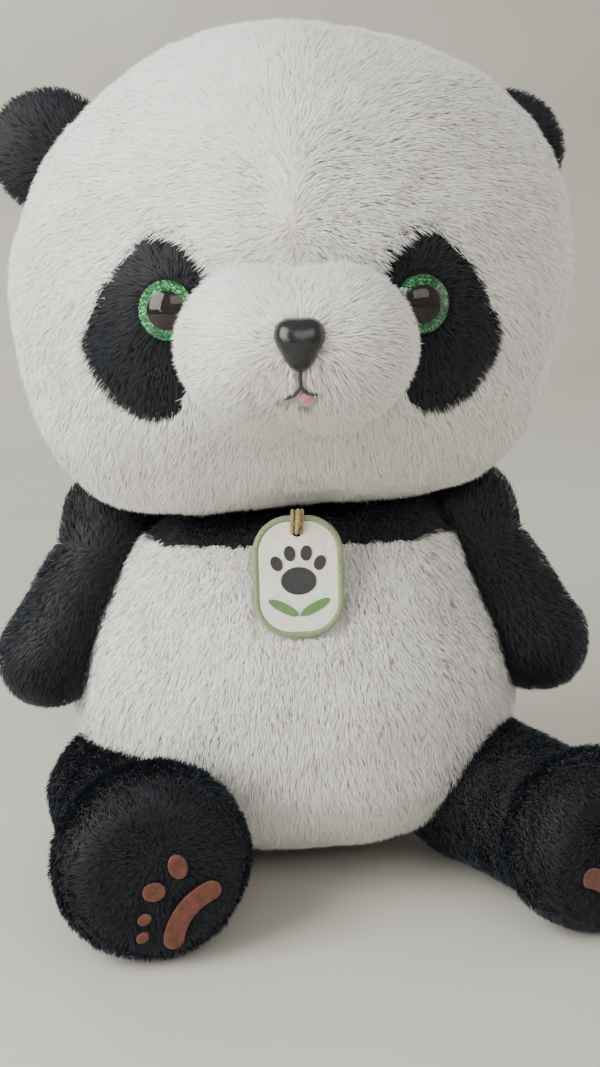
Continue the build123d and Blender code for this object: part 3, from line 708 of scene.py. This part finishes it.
def build_nose():
    """A glossy rounded triangle that domes out of the muzzle."""
    steps, rings = 72, 22
    angles = np.arange(steps) * math.tau / steps
    outline = 0.0107 * (1 + 0.13 * np.cos(3 * (angles + math.pi / 2)))
    back = MUZZLE_FRONT + 0.0045
    depth = back - NOSE_FRONT
    points = []
    for ring in range(1, rings + 1):
        turn = min(ring / (rings - 4), 1) * math.pi / 2
        spread = math.sin(turn) ** 0.92
        rise = depth * (0.28 + 0.72 * math.cos(turn) ** 0.8)
        if ring > rings - 4:
            rise = depth * 0.28 * (rings - ring) / 4
        for angle, radius in zip(angles, outline):
            x, z = radius * spread * math.cos(angle), 1.10 * radius * spread * math.sin(angle)
            points.append((NOSE[0] + x, back - rise + 0.10 * abs(z), NOSE[2] + z))
    tip = len(points)
    points.append((NOSE[0], NOSE_FRONT, NOSE[2]))
    mesh = bmesh.new()
    corners = [mesh.verts.new(p) for p in points]
    for ring in range(rings - 1):
        for i in range(steps):
            j = (i + 1) % steps
            a, b = ring * steps, (ring + 1) * steps
            mesh.faces.new((corners[a + i], corners[a + j], corners[b + j], corners[b + i]))
    for i in range(steps):
        mesh.faces.new((corners[tip], corners[(i + 1) % steps], corners[i]))
    mesh.faces.new([corners[(rings - 1) * steps + i] for i in range(steps)])
    bmesh.ops.recalc_face_normals(mesh, faces=mesh.faces)
    data = bpy.data.meshes.new("nose_dome")
    mesh.to_mesh(data)
    mesh.free()
    data.polygons.foreach_set("use_smooth", [True] * len(data.polygons))
    data.materials.append(MATERIALS["nose_plastic"])
    made = bpy.data.objects.new("nose_dome", data)
    bpy.context.scene.collection.objects.link(made)
    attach(made, "head")
    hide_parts("nose")


def build_mouth():
    for number, (name, line) in enumerate(MOUTH_LINES.items()):
        points = [mouth_place(x, drop, 0.0004) for x, drop in line]
        made = curve_piece(name, points, 0.0009, MATERIALS["thread_black"], "head")
        if number == 0:
            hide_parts("mouth_stitching")
    steps, rings = 28, 8
    points = []
    for ring in range(rings + 1):
        spread = math.sin(ring / rings * math.pi / 2)
        puff = 0.0016 * math.cos(ring / rings * math.pi / 2)
        for i in range(steps):
            angle = i * math.tau / steps
            x = 0.0034 * spread * math.cos(angle)
            z = 0.0031 * spread * math.sin(angle)
            points.append((TONGUE[0] + x, TONGUE[1] - puff + 0.0006 - 0.55 * z, TONGUE[2] + z))
    faces = []
    for r in range(rings):
        for i in range(steps):
            j = (i + 1) % steps
            faces.append((r * steps + i, r * steps + j, (r + 1) * steps + j, (r + 1) * steps + i))
    tongue = mesh_object("tongue_puff", np.array(points), np.array(faces), [MATERIALS["tongue_felt"]])
    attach(tongue, "head")
    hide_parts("tongue")


# ---------------------------------------------------------------- ears

EAR_SAG = {"left": np.array([-0.003, 0.003, -0.006]), "right": np.array([0.002, 0, -0.001])}
EAR_OUTWARD = np.array([0.761, 0, 0.649])
EAR_HINGE_DROP = 0.0095
EAR_RADIUS = 0.033
EAR_HALF_THICKNESS = 0.011
EAR_INSET = 0.0022


def build_ear(name, side):
    fold = np.array(JOINTS[f"{name}_ear_fold"]["pos_m"])
    outward = unit(EAR_OUTWARD * [side, 1, 1])
    along = np.array([-outward[2] * side, 0, outward[0] * side])
    disc_centre = fold + outward * EAR_HINGE_DROP + EAR_SAG[name]
    radius, half = EAR_RADIUS - EAR_INSET, EAR_HALF_THICKNESS - EAR_INSET

    def form(p):
        q = p - disc_centre
        out, wide, thick = q @ outward, q @ along, q[:, 1]
        k = np.sqrt((out / radius) ** 2 + (wide / radius) ** 2 + (np.abs(thick) / half) ** 2)
        return (k - 1) * half * 0.8

    made = skin_mesh(form, disc_centre, 5, 0.06, 0.0004)
    above = ((made[0][made[1]].mean(axis=1) - fold) @ outward) > -0.009
    body = f"{name}_ear"
    skin(f"ear_skin_{name}", body, "black_pile", made, above, [f"ear_front_{name}", f"ear_back_{name}"])
    pile(f"ear_pile_{name}", body, "black_pile", made, lambda p: (p - fold) @ outward > -0.006,
         lambda p: (p - disc_centre) + outward * 0.02, 0.0058, 1.25e6, width=0.00052, seed=500 + side)


# ---------------------------------------------------------------- torso

YOKE_HANG = 0.004       # the black hair hangs this far over the seam
CHEST = np.array([0, -0.050, 0.171])
CHEST_HALF_WIDTH = np.array([0.050, 0, 0])
CHEST_RADIUS = 0.0335
LEFT_SHOULDER_PUFF = np.array([0.058, -0.030, 0.183])
TORSO_TOP = 0.2045      # on the right, and 8 mm higher on the left


def torso_form(p):
    """A belly with a fuller chest, flat on top, that rounds up from the floor at its front."""
    across = np.array([TORSO_STRAIGHT, 0, 0])
    radius = TORSO_RADIUS - SKIN_INSET
    d = limb(p, TORSO - across, TORSO + across, radius, radius)
    chest = limb(p, CHEST - CHEST_HALF_WIDTH, CHEST + CHEST_HALF_WIDTH, CHEST_RADIUS, CHEST_RADIUS)
    d = joined(d, chest, 0.02)
    d = joined(d, ball(p, LEFT_SHOULDER_PUFF, 0.030), 0.012)
    top = TORSO_TOP + 0.008 * np.clip((p[:, 0] - 0.01) / 0.04, 0, 1)
    d = trimmed(d, p[:, 2] - top, 0.006)
    roundness = 0.014 + 0.060 * np.clip(-p[:, 1] / 0.06, 0, 1)
    return trimmed(d, FLOOR_GAP - p[:, 2], roundness)


def under_tag(p):
    """Hair behind the tag and its loop is pressed short."""
    x = np.abs(p[:, 0])
    behind = (x < (TAG_HIGH[0] - TAG_LOW[0]) / 2 + 0.001) & (p[:, 2] > TAG_LOW[2] - 0.001) & (p[:, 1] < -0.06)
    return np.where(behind, 0.5, 1.0)


def build_torso():
    form = skin_mesh(torso_form, TORSO, 6, 0.22, 0.0014)
    middle_of = form[0][form[1]].mean(axis=1)
    black = middle_of[:, 2] > YOKE_SEAM + YOKE_HANG
    skin("belly_skin", "torso", "white_pile", form, ~black,
         ["belly_panel", "back_panel", "seat_base_panel", "torso_stuffing"])
    skin("yoke_skin", "torso", "black_pile", form, black, ["chest_yoke", "back_yoke"])

    def yoke(p):
        return p[:, 2] > YOKE_SEAM + YOKE_HANG + 0.0012 * lumps(p, 0.006, 88)

    down = away_from([TORSO + np.array([0, 0, 0.09])], 0.35, 0.9)
    pile("belly_pile", "torso", "white_pile", form, lambda p: ~yoke(p) & (p[:, 1] < 0) & (p[:, 2] > 0.006),
         down, 0.0084, 1.6e6, width=0.00044, shorten=under_tag, seed=600)
    pile("back_pile", "torso", "white_pile", form, lambda p: ~yoke(p) & (p[:, 1] >= 0) & (p[:, 2] > 0.006),
         down, 0.0088, 0.95e6, width=0.00056, seed=700)
    pile("yoke_pile", "torso", "black_pile", form, yoke, down, 0.0064, 1.0e6, width=0.00056,
         shorten=under_tag, seed=800)
    tail_low, tail_high = box("tail")
    tail_centre = np.array([0, tail_high[1] - 0.017, (tail_low[2] + tail_high[2]) / 2])
    tail = skin_mesh(lambda p: ball(p, tail_centre, 0.0145), tail_centre, 4, 0.03, 0.0005)
    everywhere = np.ones(len(tail[1]), bool)
    skin("tail_skin", "torso", "white_pile", tail, everywhere, ["tail"])
    pile("tail_pile", "torso", "white_pile", tail, lambda p: p[:, 1] > tail_low[1] - 0.004,
         lambda p: p - tail_centre + np.array([0, 0.01, -0.01]), 0.0085, 0.8e6, seed=850)


def build_neck():
    """The plug of stuffing that the head turns on, in its own black cloth."""
    low, high = box("neck_stuffing")
    centre = (low + high) / 2
    radius = (high[0] - low[0]) / 2

    def form(p):
        level = p[:, 2] - centre[2]
        flat = np.linalg.norm(p[:, :2] - centre[:2], axis=1)
        return np.maximum(flat - radius, np.abs(level) - (high[2] - low[2]) / 2) * 0.7

    made = skin_mesh(form, centre, 4, 0.06, 0.0003)
    skin("neck_skin", "neck", "black_pile", made, np.ones(len(made[1]), bool), ["neck_stuffing"])


# ---------------------------------------------------------------- limbs

HAND_REACH = np.array([0.038, -0.020, -0.062])
FOOT_RADIUS = box("leg_upper_panel_left")[1][2] - np.array(JOINTS["left_leg_spread"]["pos_m"])[2]
FOOT_PUFF = {"right": 0.0045, "left": 0.0010}      # of the filling past the foot's pattern
LEG_LENGTH = 0.122
SHOULDER_RADIUS = 0.0260
HAND_RADIUS = 0.0290
ARM_INSET = 0.0028
SHOULDER_TOP = np.array([0.003, 0.004, 0.011])     # of the fuller top, from the shoulder's hinge
HIP_RADIUS = 0.0435
ANKLE_RADIUS = 0.0400


def build_arm(name, side):
    shoulder = np.array(JOINTS[f"{name}_arm_raise"]["pos_m"])
    hand = shoulder + HAND_REACH * [side, 1, 1]
    way = unit(hand - shoulder)
    top = shoulder + SHOULDER_TOP * [side, 1, 1]

    def form(p):
        d = limb(p, shoulder, hand, SHOULDER_RADIUS - ARM_INSET, HAND_RADIUS - ARM_INSET)
        return joined(d, ball(p, top, 0.0235), 0.012)

    made = skin_mesh(form, (shoulder + hand) / 2, 5, 0.10, 0.0010)
    body = f"{name}_arm"
    skin(f"arm_skin_{name}", body, "black_pile", made, np.ones(len(made[1]), bool),
         [f"arm_outer_panel_{name}", f"arm_inner_panel_{name}", f"arm_stuffing_{name}"])
    pile(f"arm_pile_{name}", body, "black_pile", made, lambda p: np.ones(len(p), bool),
         lambda p: way + 0.5 * (p - hand) / 0.03, 0.0068, 1.0e6, width=0.00056, seed=900 + side)


def padless(p, name, direction):
    """Hair roots on the sole that no pad covers."""
    trees = []
    for part in (f"main_pad_{name}", f"toe_pads_{name}"):
        mesh = frame["nodes"][part].data
        trees.append(BVHTree.FromPolygons([v.co[:] for v in mesh.vertices],
                                          [f.vertices[:] for f in mesh.polygons]))
    free = np.ones(len(p), bool)
    for i, place in enumerate(p):
        start = Vector(place) + Vector(direction) * 0.02
        free[i] = all(tree.ray_cast(start, -Vector(direction), 0.03)[0] is None for tree in trees)
    return free


def build_leg(name, side):
    hip = np.array(JOINTS[f"{name}_leg_spread"]["pos_m"])
    sole = middle(f"sole_panel_{name}")
    direction = unit((sole - hip) * [1, 1, 0])
    half = 0.026
    ankle = hip + direction * 0.070
    foot = hip + direction * (LEG_LENGTH - half)
    edge = 0.0185

    def form(p):
        d = limb(p, hip, ankle, HIP_RADIUS - SKIN_INSET, ANKLE_RADIUS - SKIN_INSET)
        away = p - foot - [0, 0, FOOT_PUFF[name]]
        along = away @ direction
        out = np.linalg.norm(away - along[:, None] * direction, axis=1)
        past_side = out - (FOOT_RADIUS + FOOT_PUFF[name] - SKIN_INSET - edge)
        past_end = np.abs(along) - (half - SKIN_INSET - edge)
        q = np.stack([past_side, past_end], axis=1)
        slab = np.linalg.norm(np.maximum(q, 0), axis=1) + np.minimum(q.max(axis=1), 0) - edge
        d = joined(d, slab, 0.008)
        return trimmed(d, FLOOR_GAP - p[:, 2], 0.006)

    made = skin_mesh(form, hip + direction * 0.05, 6, 0.13, 0.0012)
    body = f"{name}_leg"
    skin(f"leg_skin_{name}", body, "black_pile", made, np.ones(len(made[1]), bool),
         [f"leg_upper_panel_{name}", f"leg_under_panel_{name}", f"sole_panel_{name}", f"leg_stuffing_{name}"])

    def is_sole(p):
        return (p - hip) @ direction > LEG_LENGTH - 0.009

    pile(f"leg_pile_{name}", body, "black_pile", made, lambda p: ~is_sole(p) & (p[:, 2] > 0.003),
         lambda p: direction + 0.35 * (p - foot) / 0.05 + np.array([0, 0, -0.25]), 0.0068, 0.95e6,
         width=0.00056, seed=1000 + side)
    def bare_sole(p):
        wanted = is_sole(p)
        wanted[wanted] = padless(p[wanted], name, direction)
        return wanted

    pile(f"sole_pile_{name}", body, "black_pile", made, bare_sole,
         lambda p: (p - sole) / 0.04 + np.array([0, 0, -0.4]), 0.0052, 1.25e6,
         width=0.00052, seed=1100 + side)
    for part in ("main_pad", "toe_pads"):
        build_pad(f"{part}_{name}", body, direction)


def build_pad(cad_node, body, direction):
    """A felt pad with its edge drawn down: the CAD pad, remeshed fine and puffed."""
    source = frame["nodes"][cad_node]
    made = bpy.data.objects.new(cad_node.replace("pad", "felt_pad", 1), source.data.copy())
    bpy.context.scene.collection.objects.link(made)
    made.data.materials.clear()
    made.data.materials.append(MATERIALS["paw_felt"])
    remesh = made.modifiers.new("remesh", "REMESH")
    remesh.mode = "VOXEL"
    remesh.voxel_size = 0.00045
    smooth = made.modifiers.new("smooth", "SMOOTH")
    smooth.factor = 0.5
    smooth.iterations = 9
    bake_modifiers(made)
    count = len(made.data.vertices)
    points = np.zeros(count * 3, np.float32)
    made.data.vertices.foreach_get("co", points)
    points = points.reshape(-1, 3).astype(float)
    outer = np.clip((points @ direction - (points @ direction).min()) / 0.0012, 0, 1)
    points += direction * (outer * 0.0003 * lumps(points, 0.0035, 5))[:, None]
    made.data.vertices.foreach_set("co", points.astype(np.float32).ravel())
    made.data.polygons.foreach_set("use_smooth", [True] * len(made.data.polygons))
    made.data.update()
    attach(made, body)
    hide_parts(cad_node)


def bake_modifiers(obj):
    """Applies an object's modifiers to its mesh."""
    graph = bpy.context.evaluated_depsgraph_get()
    data = bpy.data.meshes.new_from_object(obj.evaluated_get(graph))
    obj.modifiers.clear()
    obj.data = data


# ---------------------------------------------------------------- tag and its loop

TAG_HOLE = np.array(JOINTS["tag_swing"]["pos_m"])
TAG_TILT = math.radians(9.6)
TAG_UP = np.array([0, math.sin(TAG_TILT), math.cos(TAG_TILT)])
TAG_OUT = np.array([0, -math.cos(TAG_TILT), math.sin(TAG_TILT)])
TAG_SIZE = (0.046, 0.062, 0.019)
TAG_HOLE_DROP = 0.008
LOOP_ROUTE = [
    (-0.0022, -0.0655, 0.1964), (-0.0020, -0.0795, 0.2030), (-0.0014, -0.0940, 0.2054),
    (-0.0002, -0.1075, 0.2074), (0.0008, -0.1090, 0.2145), (0.0010, -0.1025, 0.2182),
    (0.0014, -0.0925, 0.2134), (0.0018, -0.0800, 0.2056), (0.0022, -0.0665, 0.1960),
]


# The loose thread on the rim: across, up and out from the tag's hole.
LOOSE_THREAD = [
    (0.0225, -0.0300, 0.0010), (0.0255, -0.0312, 0.0020), (0.0275, -0.0295, 0.0020),
    (0.0290, -0.0325, 0.0025), (0.0315, -0.0310, 0.0020), (0.0325, -0.0340, 0.0020),
]


def tag_place(x, up, out=0.0):
    return TAG_HOLE + np.array([x, 0, 0]) + TAG_UP * up + TAG_OUT * out


# Round a rectangle from its top left: the corners as signs of X and Y, and the way along each side.
CORNER_SIGNS = [(1, 1), (1, -1), (-1, -1), (-1, 1)]
RUN_WAYS = [(1, 0), (0, -1), (-1, 0), (0, 1)]


def rounded_rectangle(width, height, corner, steps):
    """Places at even spacing round a rounded rectangle, with the way out of it at each."""
    straight_x, straight_y = width - 2 * corner, height - 2 * corner
    quarter = corner * math.pi / 2
    runs = [straight_x, quarter, straight_y, quarter, straight_x, quarter, straight_y, quarter]
    total = sum(runs)
    out = []
    for i in range(steps):
        s = total * i / steps
        for number, run in enumerate(runs):
            if s <= run or number == len(runs) - 1:
                break
            s -= run
        turn = math.pi / 2 - (number // 2) * math.pi / 2
        if number % 2 == 0:
            across, up = CORNER_SIGNS[number // 2 - 1]
            forward_x, forward_y = RUN_WAYS[number // 2]
            centre_x = across * straight_x / 2 + forward_x * s
            centre_y = up * straight_y / 2 + forward_y * s
            normal = (math.cos(turn), math.sin(turn))
        else:
            across, up = CORNER_SIGNS[number // 2]
            centre_x, centre_y = across * straight_x / 2, up * straight_y / 2
            angle = turn - s / corner
            normal = (math.cos(angle), math.sin(angle))
        out.append((centre_x + normal[0] * corner, centre_y + normal[1] * corner, normal))
    return out


def build_tag():
    """The stitched rim: side-by-side threads wrapped over the felt's edge."""
    width, height, corner = TAG_SIZE
    stitches, per_stitch, around = 330, 4, 12
    inset = 0.0016
    line = rounded_rectangle(width - 2 * inset, height - 2 * inset, corner - inset, stitches * per_stitch)
    rng = np.random.default_rng(9)
    wobble = rng.uniform(-0.00012, 0.00012, stitches)
    points = []
    for i, (x, y, normal) in enumerate(line):
        phase = (i % per_stitch) / per_stitch
        swell = 0.0015 + 0.00016 * math.sin(math.pi * phase) + 0.5 * wobble[i // per_stitch]
        for k in range(around):
            angle = k * math.tau / around
            reach = swell * 1.06 * math.cos(angle)
            lift = (swell + 0.0001) * math.sin(angle)
            up = y + normal[1] * reach + TAG_HOLE_DROP - height / 2
            points.append(tag_place(x + normal[0] * reach, up, lift))
    count = len(line)
    faces = []
    for i in range(count):
        here, beyond = i * around, (i + 1) % count * around
        for k in range(around):
            m = (k + 1) % around
            faces.append((here + k, here + m, beyond + m, beyond + k))
    rim = mesh_object("tag_rim_stitches", np.array(points), np.array(faces), [MATERIALS["tag_rim_thread"]])
    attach(rim, "tag")
    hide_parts("tag_rim")
    thread = [tag_place(*place) for place in LOOSE_THREAD]
    curve_piece("tag_loose_thread", thread, 0.00025, MATERIALS["tag_rim_thread"], "tag")


def build_loop():
    cord = curve_piece("tag_cord_loop", LOOP_ROUTE, 0.0011, MATERIALS["loop_cord"], "torso")
    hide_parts("tag_loop")
    for number, x in enumerate((-0.0024, 0.0, 0.0024)):
        ring = []
        for i in range(13):
            angle = math.tau * i / 12
            ring.append(tag_place(x + 0.0004 * math.sin(angle), 0.0046 + 0.0058 * math.sin(angle),
                                  0.0031 * math.cos(angle)))
        curve_piece(f"loop_knot_wrap_{number + 1}", ring, 0.0010, MATERIALS["loop_cord"],
                                 "torso")


# ---------------------------------------------------------------- CAD pieces that stay

def finish_cad_pieces():
    kept = {"eye_lens": "clear_dome", "eye_pupil": "pupil_plastic", "eye_glitter_disc": "glitter",
            "eye_washer": "washer_plastic"}
    for part, slot in kept.items():
        for name in SIDES:
            show_in(f"{part}_{name}", slot)
    show_in("nose_washer", "washer_plastic")
    show_in("tag_felt", "tag_cloth")
    show_in("tag_mark", "tag_print")
    show_in("tag_leaves", "tag_leaf_print")


def show_in(cad_node, slot):
    obj = frame["nodes"][cad_node]
    if not obj.material_slots:
        obj.data.materials.append(MATERIALS[slot])
    for place in obj.material_slots:
        place.material = MATERIALS[slot]


# ---------------------------------------------------------------- studio

def build_studio():
    """A pale sheet of a floor that sweeps up behind into a plain wall."""
    floor_material, tree, shader = new_material("studio_paper")
    stops = [(0.3, (0.55, 0.54, 0.48)), (0.7, (0.60, 0.585, 0.525))]
    tree.links.new(ramp(tree, noise(tree, 3, detail=3), stops), shader.inputs["Base Color"])
    shader.inputs["Roughness"].default_value = 0.95
    back, bend = 2.7, 0.5
    profile = [(-4.0, 0.0), (back, 0.0)]
    for a in np.linspace(0.15, math.pi / 2, 10):
        profile.append((back + bend * math.sin(a), bend * (1 - math.cos(a))))
    profile.append((back + bend, 4.0))
    points, faces = [], []
    for x in (-4.5, 4.5):
        points += [(x, y, z) for y, z in profile]
    count = len(profile)
    faces = [(i, i + count, i + count + 1, i + 1) for i in range(count - 1)]
    floor = mesh_object("studio_floor", np.array(points), np.array(faces), [floor_material])
    world = bpy.data.worlds.new("studio")
    world.use_nodes = True
    world.node_tree.nodes["Background"].inputs["Color"].default_value = (0.92, 0.90, 0.86, 1)
    world.node_tree.nodes["Background"].inputs["Strength"].default_value = 0.55
    bpy.context.scene.world = world
    add_light("window_light", (-1.2, -0.9, 1.0), (1.1, 1.4), 46, (1.0, 0.985, 0.95))
    add_light("wall_wash", (-1.2, 2.0, 2.4), (1.6, 1.0), 46, (1.0, 0.98, 0.95), (-0.4, 3.2, 0.5))
    add_light("front_fill", (0.6, -1.9, 1.5), (1.8, 1.0), 17, (1.0, 0.97, 0.92))
    add_light("right_fill", (1.4, 0.1, 0.6), (1.0, 1.2), 3.5, (1.0, 0.96, 0.90))


add_camera()
build_studio()
build_loop()
build_tag()
build_head()
build_nose()
build_mouth()
for side_name, side in SIDES.items():
    build_ear(side_name, side)
    build_arm(side_name, side)
    build_leg(side_name, side)
build_torso()
build_neck()
finish_cad_pieces()
